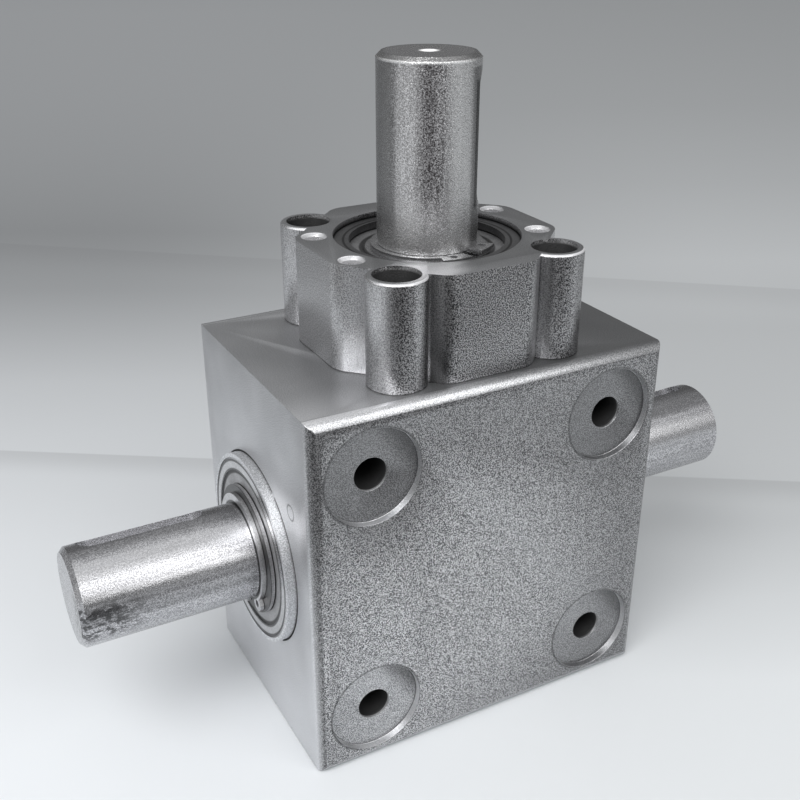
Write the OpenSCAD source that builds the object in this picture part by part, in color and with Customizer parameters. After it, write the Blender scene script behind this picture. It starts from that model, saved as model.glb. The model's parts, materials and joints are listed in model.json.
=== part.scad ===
// Right angle gearbox, 1 to 1: a cast box carries a through shaft on the X axis,
// and a flanged neck on top carries the output shaft on the Z axis.
// A pair of straight mitre gears joins the two inside the box.
// Origin: centre of the underside of the box. Units: millimetres.

/* [Box] */
// Width of the box along the through shaft
box_w = 99; // [94:1:115]
// Depth of the box, front to back
box_d = 71; // [69:1:84]
// Height of the box
box_h = 99; // [97:1:112]
// Height of the shaft axes' crossing above the underside
axis_h = 49; // [48.5:0.5:50]
// Radius of the cast edges round the front and back faces
edge_r = 3; // [1:0.5:4]
// Thickness of the front and back walls
face_wall = 7; // [5:0.5:8]
// Thickness of the side walls round the bearing bores
side_wall = 18.5; // [17:0.5:19]
// Thickness of the floor under the gears
floor_wall = 10; // [8:1:14]

/* [Mounting holes, front and back] */
// Distance between the holes, both ways
mount_pitch = 67; // [65:0.5:70]
// Diameter of the holes, which run right through the box
mount_hole_d = 8.5; // [6.8:0.1:8.6]
// Diameter of the spot face at each end of a hole
spot_d = 24.8; // [20:0.2:25.4]
// Depth of the spot face
spot_depth = 1.8; // [0.8:0.1:2.4]

/* [Neck] */
// Distance across the flats of the neck
neck_w = 62.5; // [61:0.5:66]
// Leg of the chamfer on each upright corner of the neck
neck_corner = 20; // [16:0.5:22]
// Height of the neck above the box
neck_h = 26.5; // [24:0.5:34]
// Distance between the bolt bosses along X
boss_pitch_x = 43; // [42:0.5:44]
// Distance between the bolt bosses along Y
boss_pitch_y = 48; // [47:0.5:50]
// Diameter of a bolt boss
boss_d = 14.5; // [13.6:0.1:15.5]
// Radius round the top rim of a boss
boss_rim_r = 0.8; // [0.4:0.1:1]
// Diameter of the deep hole that takes the screw head
boss_hole_d = 11.4; // [11:0.1:11.8]
// Thickness of the boss floor under the screw head
boss_floor = 8; // [6:0.5:10]
// Diameter of the spigot that centres the neck in the box
spigot_d = 52; // [51:0.5:53]

/* [Tapped holes in the neck face] */
// Distance between the small tapped holes along X
face_pitch_x = 52; // [51.5:0.5:53]
// Distance between the small tapped holes along Y
face_pitch_y = 21; // [19:0.5:23]
// Core diameter of the small tapped holes
face_core_d = 5; // [4:0.1:5]
// Depth of the small tapped holes
face_depth = 12; // [8:1:16]

/* [Shafts] */
// Diameter of both shafts
shaft_d = 25; // [24.5:0.1:25.2]
// Overall length of the through shaft
through_l = 196; // [180:2:240]
// Height of the output shaft's end above the neck
output_reach = 43.5; // [43:0.5:70]
// Chamfer on the shaft ends
end_chamfer = 1.2; // [0.5:0.1:2]
// Diameter of the output shaft where it carries the gear
gear_seat_d = 20; // [18:0.5:21]
// Width of the keyways in the shaft ends
keyway_w = 8; // [6:1:8]
// Depth of the keyways in the shaft ends
keyway_depth = 4; // [3:0.5:4.5]
// Length of the keyways in the shaft ends
keyway_l = 32; // [20:1:34]
// Distance from the shaft's end to its keyway
keyway_inset = 3.8; // [2:0.2:6]
// Turn of the through shaft's keyways from the top, towards the back
through_keyway_angle = 20.5; // [0:0.5:45]
// Turn of the output shaft's keyway from +X, towards the front
output_keyway_angle = 30; // [0:0.5:60]

/* [Bearings] */
// Outside diameter of the ball bearings
bearing_od = 47; // [46.6:0.1:47.2]
// Width of the ball bearings
bearing_w = 12; // [11:0.5:12.5]
// Number of balls in a bearing
ball_count = 10; // [8:1:11]
// Diameter of a ball
ball_d = 6.35; // [5.6:0.05:6.5]
// Outside diameter of the thin sleeves in the side bores
sleeve_od = 50; // [49:0.5:51.5]
// How far a sleeve and its bearing stand out of the side of the box
sleeve_proud = 2.4; // [1:0.1:4]
// Thickness of the sleeve's inner shoulder
sleeve_shoulder = 3; // [2:0.5:3.5]
// Depth of the upper bearing below the face of the neck
bearing_recess = 3.2; // [3.1:0.1:4]

/* [Mitre gears] */
// Teeth on each gear
gear_teeth = 20; // [18:2:20]
// Module at the large end of the teeth
gear_module = 2.3; // [2.2:0.05:2.35]
// Face width along the teeth
gear_face = 7.5; // [6:0.5:8]
// Backlash at the large end
gear_backlash = 0.2; // [0.15:0.05:0.4]
// Diameter of the gear hubs
hub_d = 36; // [33:0.5:37]
// Distance from the crossing of the axes to the back of each hub
hub_back = 34.5; // [32:0.5:36]

/* [Rings and fasteners] */
// Thickness of the retaining rings on the shafts
ring_t = 1.2; // [1:0.1:1.3]
// Thickness of the retaining ring in the neck bore
bore_ring_t = 1.75; // [1.5:0.05:1.8]
// Thickness of the shims outside the through shaft's bearings
shim_t = 1; // [0.5:0.1:1.5]
// Thread diameter of the four neck screws
screw_d = 6; // [5:0.5:6]
// Length of the neck screws under the head
screw_l = 22; // [18:1:23]

/* [Hidden] */
$fn = 64;
// Small overlap that makes a cut run past a face
over = 1;

// Paint on the castings, bright steel, dark steel and rubber
paint = [0.62, 0.63, 0.65];
bright = [0.72, 0.73, 0.75];
steel = [0.55, 0.56, 0.58];
seal_grey = [0.5, 0.51, 0.53];

neck_top = box_h + neck_h;
output_top = neck_top + output_reach;
shaft_r = shaft_d / 2;

// Bearing faces, measured from the crossing of the axes
side_face = box_w / 2 + sleeve_proud;
side_inner = side_face - bearing_w;
upper_face = neck_top - bearing_recess - axis_h;
upper_inner = upper_face - bearing_w;
lower_face = hub_back + bearing_w;
bearing_r = bearing_od / 2;
// Shoulders of the races beside the seals
outer_shoulder_r = bearing_r - 2.9;
inner_shoulder_r = shaft_r + 3.5;
ball_pitch_r = (outer_shoulder_r + inner_shoulder_r) / 2;
ball_r = ball_d / 2;
race_clear = 0.05;
seal_clear = 0.08;
seal_t = 0.9;
seal_inset = 0.3;
cage_r = [ball_pitch_r - 0.9, ball_pitch_r + 0.9];
cage_w = 7.4;

// Chamber round the gears
chamber_x = box_w / 2 - side_wall;
chamber_y = box_d / 2 - face_wall;
chamber_half_h = 28;
chamber_r = 6;
well_x = 20;
shoulder_id = bearing_od - 6;
spigot_wall_z = axis_h + hub_back;

// Mitre gear, worked on the back cone of a 45 degree pitch cone
cone = 45;
pitch_r = gear_module * gear_teeth / 2;
back_r = pitch_r / cos(cone);
base_r = back_r * cos(20);
tip_r = back_r + gear_module;
root_r = back_r - 1.25 * gear_module;
toe_scale = 1 - gear_face / (pitch_r / sin(cone));
toe_root_r = toe_scale * (pitch_r - 1.25 * gear_module * cos(cone));
front_r = toe_root_r - 0.2;
gear_front = 2 * toe_scale * pitch_r - front_r;
flank_radii = [root_r, base_r + 0.15 * gear_module, back_r + 0.1 * gear_module, tip_r];

// Gear keys: low form on the through shaft, square on the thinner gear seat
input_key = [8, 5, 13];
input_key_seat = 3.1;
output_key = [6, 6, 13];
output_key_seat = 3.5;
key_top_gap = 0.2;

// Retaining ring grooves
groove_depth = 0.55;
groove_gap = 0.1;
bore_groove_depth = 1.25;
bore_groove_gap = 0.15;
// Where the gaps of the rings point
output_ring_turn = -74;
bore_ring_turn = 64;
input_ring_turn = 198;

// Neck screws
head_d = screw_d * 1.66;
head_h = screw_d;
washer_t = 1.6;
screw_clear_d = screw_d + 0.6;
thread_gap = 0.05;
screw_seat = box_h + boss_floor + washer_t;
thread_end = screw_seat - screw_l;
boss_spots = [for (sx = [-1, 1], sy = [-1, 1]) [sx * boss_pitch_x / 2, sy * boss_pitch_y / 2]];
face_spots = [for (sx = [-1, 1], sy = [-1, 1]) [sx * face_pitch_x / 2, sy * face_pitch_y / 2]];

// Puts a part that is drawn along +Z on the through shaft's axis, facing the given side
module on_side(side) {
    translate([0, 0, axis_h]) rotate([0, side * 90, 0]) children();
}

// Puts a part that is drawn along +Z on the output axis
module on_output() {
    translate([0, 0, axis_h]) children();
}

// Plate with rounded edges along Z
module rounded_plate(size, r, h) {
    linear_extrude(h, center = true) union() {
        square([size[0] - 2 * r, size[1]], center = true);
        square([size[0], size[1] - 2 * r], center = true);
        for (sx = [-1, 1], sy = [-1, 1])
            translate([sx * (size[0] / 2 - r), sy * (size[1] / 2 - r)]) circle(r);
    }
}

// Block whose edges along Y are rounded, centred on the crossing of the axes
module chamber_block(x_half, z_low, z_high) {
    translate([0, 0, (z_low + z_high) / 2]) rotate([90, 0, 0])
        rounded_plate([2 * x_half, z_high - z_low], chamber_r, 2 * chamber_y);
}

module tube(outer_r, inner_r, z0, z1) {
    translate([0, 0, z0]) difference() {
        cylinder(r = outer_r, h = z1 - z0);
        translate([0, 0, -over]) cylinder(r = inner_r, h = z1 - z0 + 2 * over);
    }
}

module box_blank() {
    translate([0, 0, box_h / 2]) intersection() {
        rounded_plate([box_w + 2 * edge_r, box_d], edge_r, box_h);
        rotate([0, 90, 0]) rounded_plate([box_h, box_d], edge_r, box_w);
        rounded_plate([box_w, box_d], edge_r, box_h + over);
    }
}

// Four holes through the box, with a spot face at both ends
module mounting_holes() {
    for (sx = [-1, 1], sz = [-1, 1])
        translate([sx * mount_pitch / 2, 0, axis_h + sz * mount_pitch / 2]) rotate([90, 0, 0]) {
            cylinder(d = mount_hole_d, h = box_d, center = true);
            for (side = [-1, 1]) translate([0, 0, side * box_d / 2])
                cylinder(d = spot_d, h = 2 * spot_depth, center = true);
        }
}

module housing() {
    color(paint) difference() {
        box_blank();
        translate([0, 0, axis_h]) {
            chamber_block(chamber_x, -chamber_half_h, chamber_half_h);
            chamber_block(well_x, floor_wall - axis_h, chamber_half_h);
            rotate([0, 90, 0]) cylinder(d = sleeve_od, h = box_w + 2 * over, center = true);
            cylinder(d = spigot_d, h = box_h);
        }
        mounting_holes();
        for (p = boss_spots)
            translate([p[0], p[1], thread_end - 1]) cylinder(r = screw_d / 2 + thread_gap, h = box_h);
    }
}

module neck_outline() {
    half = neck_w / 2;
    flat = half - neck_corner;
    polygon([[half, -flat], [half, flat], [flat, half], [-flat, half],
        [-half, flat], [-half, -flat], [-flat, -half], [flat, -half]]);
}

// Boss with a rounded top rim
module boss() {
    cylinder(d = boss_d, h = neck_h - boss_rim_r);
    cylinder(d = boss_d - 2 * boss_rim_r, h = neck_h);
    translate([0, 0, neck_h - boss_rim_r]) rotate_extrude()
        translate([boss_d / 2 - boss_rim_r, 0]) intersection() {
            circle(boss_rim_r);
            square(boss_rim_r);
        }
}

module neck() {
    color(paint) difference() {
        union() {
            translate([0, 0, box_h]) linear_extrude(neck_h) neck_outline();
            translate([0, 0, spigot_wall_z]) cylinder(d = spigot_d, h = box_h - spigot_wall_z + over);
            for (p = boss_spots) translate([p[0], p[1], box_h]) boss();
        }
        on_output() {
            translate([0, 0, upper_inner]) cylinder(d = bearing_od, h = neck_top);
            translate([0, 0, hub_back - over]) cylinder(d = bearing_od, h = bearing_w + over);
            cylinder(d = shoulder_id, h = neck_top);
            translate([0, 0, upper_face])
                cylinder(r = bearing_r + bore_groove_depth, h = bore_ring_t + bore_groove_gap);
        }
        for (p = boss_spots) translate([p[0], p[1], box_h]) {
            translate([0, 0, -over]) cylinder(d = screw_clear_d, h = neck_h);
            translate([0, 0, boss_floor]) cylinder(d = boss_hole_d, h = neck_h);
        }
        for (p = face_spots) translate([p[0], p[1], neck_top]) {
            translate([0, 0, -face_depth]) cylinder(d = face_core_d, h = face_depth + over);
            translate([0, 0, -0.8]) cylinder(d1 = face_core_d, d2 = face_core_d + 1.6, h = 0.8);
        }
    }
}

// Thin sleeve with the bearing's seat and an inner shoulder
module sleeve(side) {
    color(paint) on_side(side) difference() {
        translate([0, 0, side_inner - sleeve_shoulder])
            cylinder(d = sleeve_od, h = bearing_w + sleeve_shoulder);
        translate([0, 0, side_inner]) cylinder(d = bearing_od, h = bearing_w + over);
        cylinder(d = shoulder_id, h = side_face);
    }
}

module neck_screws() {
    color(steel) for (p = boss_spots) translate([p[0], p[1], 0]) difference() {
        union() {
            translate([0, 0, thread_end]) cylinder(d = screw_d, h = screw_l + over);
            translate([0, 0, screw_seat]) cylinder(d = head_d, h = head_h);
        }
        translate([0, 0, screw_seat + head_h / 2]) cylinder(r = screw_d * 0.48, h = head_h, $fn = 6);
    }
}

// Split washers under the screw heads
module spring_washers() {
    color(steel) for (p = boss_spots) translate([p[0], p[1], screw_seat - washer_t]) difference() {
        tube(head_d / 2, screw_d / 2 + 0.2, 0, washer_t);
        translate([head_d / 4 + 0.5, 0, washer_t / 2]) rotate([30, 0, 0])
            cube([head_d / 2, 0.6, washer_t * 3], center = true);
    }
}

// Retaining ring for a shaft: a tapering band with two eyes beside its gap
module shaft_ring(seat_r, eye_r, turn) {
    groove_r = seat_r - groove_depth;
    band = 2.45;
    offset_x = 0.6;
    eye_w = 4.2;
    eye_turn = 21 * 12.5 / seat_r;
    gap_turn = eye_turn - asin(eye_w / 2 / eye_r) - 1;
    rotate([0, 0, turn]) linear_extrude(ring_t) difference() {
        union() {
            translate([-offset_x, 0]) circle(groove_r + band);
            for (s = [-1, 1]) rotate([0, 0, s * eye_turn]) {
                translate([groove_r, -eye_w / 2]) square([eye_r - groove_r - eye_w / 4, eye_w]);
                translate([eye_r - eye_w / 2, 0]) circle(eye_w / 2);
            }
        }
        circle(groove_r);
        polygon([[0, 0], [2 * eye_r, -2 * eye_r * tan(gap_turn)], [2 * eye_r, 2 * eye_r * tan(gap_turn)]]);
        for (s = [-1, 1]) rotate([0, 0, s * eye_turn]) translate([eye_r - eye_w / 2, 0]) circle(1, $fn = 24);
    }
}

// Retaining ring for the neck bore, with its eyes turned inwards
module bore_ring() {
    groove_r = bearing_r + bore_groove_depth;
    band_r = groove_r - 5.2;
    eye_r = groove_r - 7.4;
    eye_w = 4.6;
    eye_turn = 17;
    gap_turn = 9;
    color(bright) on_output() translate([0, 0, upper_face]) rotate([0, 0, bore_ring_turn])
        linear_extrude(bore_ring_t) difference() {
            circle(groove_r);
            difference() {
                translate([0.5, 0]) circle(band_r);
                for (s = [-1, 1]) rotate([0, 0, s * eye_turn]) {
                    translate([eye_r + eye_w / 2, -eye_w / 2]) square([band_r, eye_w]);
                    translate([eye_r + eye_w / 2, 0]) circle(eye_w / 2);
                }
            }
            polygon([[0, 0], [2 * groove_r, -2 * groove_r * tan(gap_turn)],
                [2 * groove_r, 2 * groove_r * tan(gap_turn)]]);
            for (s = [-1, 1]) rotate([0, 0, s * eye_turn])
                translate([eye_r + eye_w / 2, 0]) circle(1.1, $fn = 24);
        }
}

// Round-ended slot with its centre line along +Z and its mouth towards +X
module slot(width, length, bottom_r, top_r) {
    translate([bottom_r, 0, 0]) rotate([0, 90, 0]) linear_extrude(top_r - bottom_r) {
        square([length - width, width], center = true);
        for (s = [-1, 1]) translate([s * (length - width) / 2, 0]) circle(width / 2);
    }
}

module end_keyway(end_z) {
    translate([0, 0, end_z - keyway_inset - keyway_l / 2])
        slot(keyway_w, keyway_l, shaft_r - keyway_depth, shaft_d);
}

// Ring groove cut into a shaft, starting at z0
module ring_groove(seat_r, z0, width) {
    tube(seat_r + over, seat_r - groove_depth, z0, z0 + width);
}

module shaft_bar(r, z0, z1) {
    translate([0, 0, z0]) cylinder(r = r, h = z1 - z0 - end_chamfer);
    translate([0, 0, z1 - end_chamfer]) cylinder(r1 = r, r2 = r - end_chamfer, h = end_chamfer);
}

module key_slot(key, seat_depth, seat_r) {
    translate([0, 0, hub_back - 1 - key[2] / 2]) slot(key[0], key[2], seat_r - seat_depth, 2 * seat_r);
}

module through_shaft() {
    end_z = through_l / 2;
    color(bright) difference() {
        union() for (turn = [0, 180]) on_side(1) rotate([turn, 0, 0]) shaft_bar(shaft_r, 0, end_z);
        on_side(-1) rotate([0, 0, through_keyway_angle]) {
            end_keyway(end_z);
            key_slot(input_key, input_key_seat, shaft_r);
        }
        on_side(1) rotate([0, 0, 180 - through_keyway_angle]) end_keyway(end_z);
        for (side = [-1, 1]) on_side(side)
            ring_groove(shaft_r, side_face + shim_t, ring_t + groove_gap);
        on_side(-1) ring_groove(shaft_r, gear_front - ring_t - groove_gap, ring_t + groove_gap);
        on_side(1) ring_groove(shaft_r, side_inner - ring_t - groove_gap, ring_t + groove_gap);
    }
}

module output_shaft() {
    end_z = output_top - axis_h;
    foot_z = gear_front - 3.2;
    color(bright) on_output() rotate([0, 0, -output_keyway_angle]) difference() {
        union() {
            shaft_bar(shaft_r, hub_back, end_z);
            translate([0, 0, foot_z]) cylinder(d = gear_seat_d, h = hub_back - foot_z + over);
        }
        end_keyway(end_z);
        key_slot(output_key, output_key_seat, gear_seat_d / 2);
        ring_groove(shaft_r, upper_face, ring_t + groove_gap);
        ring_groove(gear_seat_d / 2, gear_front - ring_t - groove_gap, ring_t + groove_gap);
        translate([0, 0, end_z - 3.5]) cylinder(d = 1.6, h = 5);
        translate([0, 0, end_z - 1.2]) cylinder(d1 = 1.6, d2 = 4, h = 1.21);
    }
}

function inv(a) = tan(a) * 180 / PI - a;
// Half the tooth's angle at a radius of the back cone's flat gear
function half_tooth(r) = 90 * pitch_r / (gear_teeth * back_r) - gear_backlash / 4 / back_r * 180 / PI
    + inv(20) - inv(acos(min(1, base_r / max(r, base_r))));
// A point of the tooth, wrapped back on to the cone and drawn in towards the apex by k
function cone_point(r, a, k) = [
    k * (pitch_r + (r - back_r) * cos(cone)) * cos(a),
    k * (pitch_r + (r - back_r) * cos(cone)) * sin(a),
    k * (pitch_r - (r - back_r) * sin(cone))];
function tooth_turn(t, flank, side) = t * 360 / gear_teeth + side * half_tooth(flank) * back_r / pitch_r;
function tooth_points(t, k) = concat(
    [for (r = flank_radii) cone_point(r, tooth_turn(t, r, -1), k)],
    [for (i = [len(flank_radii) - 1:-1:0])
        cone_point(flank_radii[i], tooth_turn(t, flank_radii[i], 1), k)]);
function gear_loop(k) = [for (t = [0:gear_teeth - 1]) each tooth_points(t, k)];
// Ring of plain points beside a toothed loop, at the same angles
function plain_loop(loop, r, z) = [for (p = loop) [r * p[0] / norm([p[0], p[1]]), r * p[1] / norm([p[0], p[1]]), z]];

// Toothed rim, ruled towards the crossing of the axes, with its hub behind it
module gear_blank() {
    heel = gear_loop(1);
    toe = gear_loop(toe_scale);
    n = len(heel);
    hub_r = hub_d / 2;
    points = concat(plain_loop(heel, hub_r, hub_back), plain_loop(heel, hub_r, 2 * pitch_r - hub_r),
        heel, toe, plain_loop(toe, front_r, gear_front), [[0, 0, hub_back], [0, 0, gear_front]]);
    bands = [for (b = [0:3], i = [0:n - 1]) let (j = (i + 1) % n)
        each [[b * n + i, b * n + j, (b + 1) * n + j], [b * n + i, (b + 1) * n + j, (b + 1) * n + i]]];
    caps = [for (i = [0:n - 1]) let (j = (i + 1) % n)
        each [[5 * n, j, i], [5 * n + 1, 4 * n + i, 4 * n + j]]];
    polyhedron(points, concat(bands, caps), convexity = 6);
}

module mitre_gear(bore_d, key, seat_depth, key_turn, tooth_phase) {
    key_top = bore_d / 2 - seat_depth + key[1] + key_top_gap;
    difference() {
        rotate([0, 0, tooth_phase]) gear_blank();
        cylinder(d = bore_d, h = hub_back + over);
        rotate([0, 0, key_turn]) translate([0, -key[0] / 2, 0]) cube([key_top, key[0], hub_back + over]);
    }
}

module input_gear() {
    color(steel) on_side(-1)
        mitre_gear(shaft_d, input_key, input_key_seat, through_keyway_angle, 180 / gear_teeth);
}

module output_gear() {
    color(steel) on_output()
        mitre_gear(gear_seat_d, output_key, output_key_seat, -output_keyway_angle, 0);
}

module gear_key(key, seat_depth, seat_r) {
    translate([0, 0, hub_back - 1 - key[2] / 2])
        slot(key[0], key[2], seat_r - seat_depth, seat_r - seat_depth + key[1]);
}

module input_gear_key() {
    color(steel) on_side(-1) rotate([0, 0, through_keyway_angle])
        gear_key(input_key, input_key_seat, shaft_r);
}

module output_gear_key() {
    color(steel) on_output() rotate([0, 0, -output_keyway_angle])
        gear_key(output_key, output_key_seat, gear_seat_d / 2);
}

module input_spacer() {
    color(steel) on_side(-1) tube(inner_shoulder_r, shaft_r, hub_back, side_inner);
}

module input_shims() {
    color(bright) for (side = [-1, 1]) on_side(side)
        tube(inner_shoulder_r + 1, shaft_r, side_face, side_face + shim_t);
}

module input_outer_rings() {
    color(bright) for (side = [-1, 1]) on_side(side) translate([0, 0, side_face + shim_t])
        shaft_ring(shaft_r, shaft_r + 3.9, input_ring_turn);
}

module input_inner_rings() {
    color(bright) {
        on_side(-1) translate([0, 0, gear_front - ring_t]) shaft_ring(shaft_r, front_r - 0.1, 0);
        on_side(1) translate([0, 0, side_inner - ring_t]) shaft_ring(shaft_r, shaft_r + 3.9, 0);
    }
}

module output_spacer() {
    color(steel) on_output() tube(inner_shoulder_r - 0.5, shaft_r, lower_face, upper_inner);
}

module output_ring() {
    color(bright) on_output() translate([0, 0, upper_face])
        shaft_ring(shaft_r, shaft_r + 3.9, output_ring_turn);
}

module output_gear_ring() {
    color(bright) on_output() translate([0, 0, gear_front - ring_t])
        shaft_ring(gear_seat_d / 2, gear_seat_d / 2 + 3.4, 0);
}

// Groove that the balls run in, as a solid to cut with
module ball_track() {
    translate([0, 0, bearing_w / 2]) rotate_extrude()
        translate([ball_pitch_r, 0]) circle(ball_r + race_clear);
}

module outer_race() {
    color(bright) difference() {
        tube(bearing_r, outer_shoulder_r, 0, bearing_w);
        ball_track();
    }
}

module inner_race() {
    color(bright) difference() {
        tube(inner_shoulder_r, shaft_r, 0, bearing_w);
        ball_track();
    }
}

module balls() {
    color(steel) for (i = [0:ball_count - 1]) rotate([0, 0, i * 360 / ball_count])
        translate([ball_pitch_r, 0, bearing_w / 2]) sphere(ball_r);
}

module cage() {
    color(steel) difference() {
        tube(cage_r[1], cage_r[0], (bearing_w - cage_w) / 2, (bearing_w + cage_w) / 2);
        for (i = [0:ball_count - 1]) rotate([0, 0, i * 360 / ball_count])
            translate([ball_pitch_r - 3, 0, bearing_w / 2]) rotate([0, 90, 0])
                cylinder(r = ball_r + race_clear, h = 6);
    }
}

module seals() {
    color(seal_grey) for (z = [seal_inset, bearing_w - seal_inset - seal_t])
        tube(outer_shoulder_r, inner_shoulder_r + seal_clear, z, z + seal_t);
}

module at_left() { on_side(-1) translate([0, 0, side_inner]) children(); }
module at_right() { on_side(1) translate([0, 0, side_inner]) children(); }
module at_upper() { on_output() translate([0, 0, upper_inner]) children(); }
module at_lower() { on_output() translate([0, 0, hub_back]) children(); }

housing();
neck();
sleeve(-1);  // left_sleeve
sleeve(1);  // right_sleeve
neck_screws();
spring_washers();
bore_ring();
through_shaft();
input_gear();
input_gear_key();
input_spacer();
input_shims();
input_outer_rings();
input_inner_rings();
output_shaft();
output_gear();
output_gear_key();
output_spacer();
output_ring();
output_gear_ring();
at_left() outer_race();  // left_bearing_outer_race
at_left() inner_race();  // left_bearing_inner_race
at_left() balls();  // left_bearing_balls
at_left() cage();  // left_bearing_cage
at_left() seals();  // left_bearing_seals
at_right() outer_race();  // right_bearing_outer_race
at_right() inner_race();  // right_bearing_inner_race
at_right() balls();  // right_bearing_balls
at_right() cage();  // right_bearing_cage
at_right() seals();  // right_bearing_seals
at_upper() outer_race();  // upper_bearing_outer_race
at_upper() inner_race();  // upper_bearing_inner_race
at_upper() balls();  // upper_bearing_balls
at_upper() cage();  // upper_bearing_cage
at_upper() seals();  // upper_bearing_seals
at_lower() outer_race();  // lower_bearing_outer_race
at_lower() inner_race();  // lower_bearing_inner_race
at_lower() balls();  // lower_bearing_balls
at_lower() cage();  // lower_bearing_cage
at_lower() seals();  // lower_bearing_seals
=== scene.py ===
# %% [markdown]
# # A right angle gearbox in silver paint
# A cast box carries a through shaft, and a bolted neck carries a second shaft that stands up from
# it. All the solids come ready made and in their places. What is left for Blender is how they look:
# the soft edges of a casting, the coarse silver paint on it, the finer spray on the turned parts,
# a retaining ring that has sprung up, and the light of a small photo tent.

# %% Load the solids
import json
import math

import bpy
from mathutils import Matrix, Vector

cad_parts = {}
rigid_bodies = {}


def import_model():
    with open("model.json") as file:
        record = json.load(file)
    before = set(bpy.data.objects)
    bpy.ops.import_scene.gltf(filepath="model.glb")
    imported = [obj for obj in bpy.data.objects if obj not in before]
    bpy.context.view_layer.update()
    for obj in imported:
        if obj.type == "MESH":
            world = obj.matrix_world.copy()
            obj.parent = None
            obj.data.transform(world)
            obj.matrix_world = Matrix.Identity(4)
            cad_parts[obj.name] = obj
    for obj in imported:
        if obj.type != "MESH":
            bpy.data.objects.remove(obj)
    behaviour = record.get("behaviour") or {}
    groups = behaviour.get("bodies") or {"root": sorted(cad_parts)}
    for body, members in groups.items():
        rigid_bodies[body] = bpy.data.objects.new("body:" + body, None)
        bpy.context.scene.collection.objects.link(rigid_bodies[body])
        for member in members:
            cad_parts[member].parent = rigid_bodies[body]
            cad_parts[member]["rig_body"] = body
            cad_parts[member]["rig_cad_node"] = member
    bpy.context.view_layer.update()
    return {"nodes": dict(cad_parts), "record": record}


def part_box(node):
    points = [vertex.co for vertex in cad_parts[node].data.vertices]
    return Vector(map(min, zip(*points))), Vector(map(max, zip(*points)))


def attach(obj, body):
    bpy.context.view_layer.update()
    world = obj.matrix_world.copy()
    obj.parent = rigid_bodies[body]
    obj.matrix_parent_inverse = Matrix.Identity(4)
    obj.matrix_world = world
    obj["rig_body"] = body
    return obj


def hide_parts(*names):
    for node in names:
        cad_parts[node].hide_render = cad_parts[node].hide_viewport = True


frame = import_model()
MM = 0.001
nodes = frame["nodes"]
print("nodes:", len(nodes))

# %% [markdown]
# ## The sizes that the finishes need
# The masks below follow real edges, such as a hole's rim or the neck's foot, so their places come
# from the frame: from its mounts, its screw holes and the boxes of its pieces. All are millimetres.
# Only what no mount and no box tells, such as the size of a spot face, is given here by itself.

# %% Sizes
mounts = {mount["name"]: mount for mount in frame["record"]["mounts"]}
AXIS = mounts["input_left"]["pos_m"][2] / MM
SPOT_FLOOR = -mounts["front_pattern"]["pos_m"][1] / MM
HOLE = mounts["front_pattern"]["dims"]["spacing_x_mm"] / 2
HOLE_R = mounts["front_pattern"]["dims"]["hole_r_mm"]
TAP_X = mounts["neck_pattern"]["dims"]["spacing_x_mm"] / 2
TAP_Y = mounts["neck_pattern"]["dims"]["spacing_y_mm"] / 2
SHAFT_R = mounts["output_end"]["dims"]["r_mm"]
screw_low, screw_high = frame["record"]["physics"]["openings"][0]["box_m"]
BOSS_X, BOSS_Y = (abs(screw_low[i] + screw_high[i]) / 2 / MM for i in (0, 1))
NECK_FOOT, NECK_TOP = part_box("housing")[1].z / MM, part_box("neck")[1].z / MM
NECK_HALF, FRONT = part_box("neck")[1].x / MM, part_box("housing")[1].y / MM
SHAFT_END, SHAFT_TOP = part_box("through_shaft")[1].x / MM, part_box("output_shaft")[1].z / MM
SLEEVE_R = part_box("left_sleeve")[1].y / MM
BEARING_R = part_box("left_bearing_outer_race")[1].y / MM
SHIM_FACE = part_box("input_shims")[1].x / MM
SPOT_R, BOSS_R, SCREW_HOLE_R, NECK_CORNER = 12.4, 7.25, 5.7, 20
OUTER_SEAL_R, INNER_SEAL_R = 20.7, 15.9
print("axis at", AXIS, "holes at", HOLE, "bosses at", round(BOSS_X, 2), round(BOSS_Y, 2))
print("neck from", round(NECK_FOOT, 2), "up to", round(NECK_TOP, 2), "and", round(NECK_HALF, 2), "out")
print("sleeve", round(SLEEVE_R, 2), "bearing", round(BEARING_R, 2), "shim face", round(SHIM_FACE, 2))

# %% [markdown]
# ## Where the camera stands
# The lens, the distance and the angle were found by fitting a camera to the edges and rings of the
# real gearbox in its picture. The camera is level, so its place and the point it looks at are all
# that its turn needs. FOCAL is the lens's length as a share of the picture's width.

# %% Camera
AZIMUTH, ELEVATION = math.radians(-28.49), math.radians(25.69)
AIM = Vector((-7.64, 0, 81.11)) * MM
CAMERA_AWAY = 281.3 * MM
FOCAL = 1.3342125
SENSOR = 36

back = Vector((math.sin(AZIMUTH) * math.cos(ELEVATION),
               -math.cos(AZIMUTH) * math.cos(ELEVATION), math.sin(ELEVATION)))
lens = bpy.data.cameras.new("photo_camera")
lens.sensor_width = SENSOR
lens.lens = SENSOR * FOCAL
lens.clip_start, lens.clip_end = 0.01, 20
camera = bpy.data.objects.new("photo_camera", lens)
camera.location = AIM + back * CAMERA_AWAY
camera.rotation_mode = "QUATERNION"
camera.rotation_quaternion = (-back).to_track_quat("-Z", "Y")
bpy.context.scene.collection.objects.link(camera)
bpy.context.scene.camera = camera
print("camera at", [round(v, 3) for v in camera.location])

# %% [markdown]
# ## Sums on sockets
# A material is a small sum: so much grain, times so much wear, plus a stain. Written as nodes, such
# sums get long. A Wire holds one output socket, and Python's own operators on it add the Math
# nodes. Every other kind of node comes from one method, which takes the node's settings and then
# the values or wires for its inputs.


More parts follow.
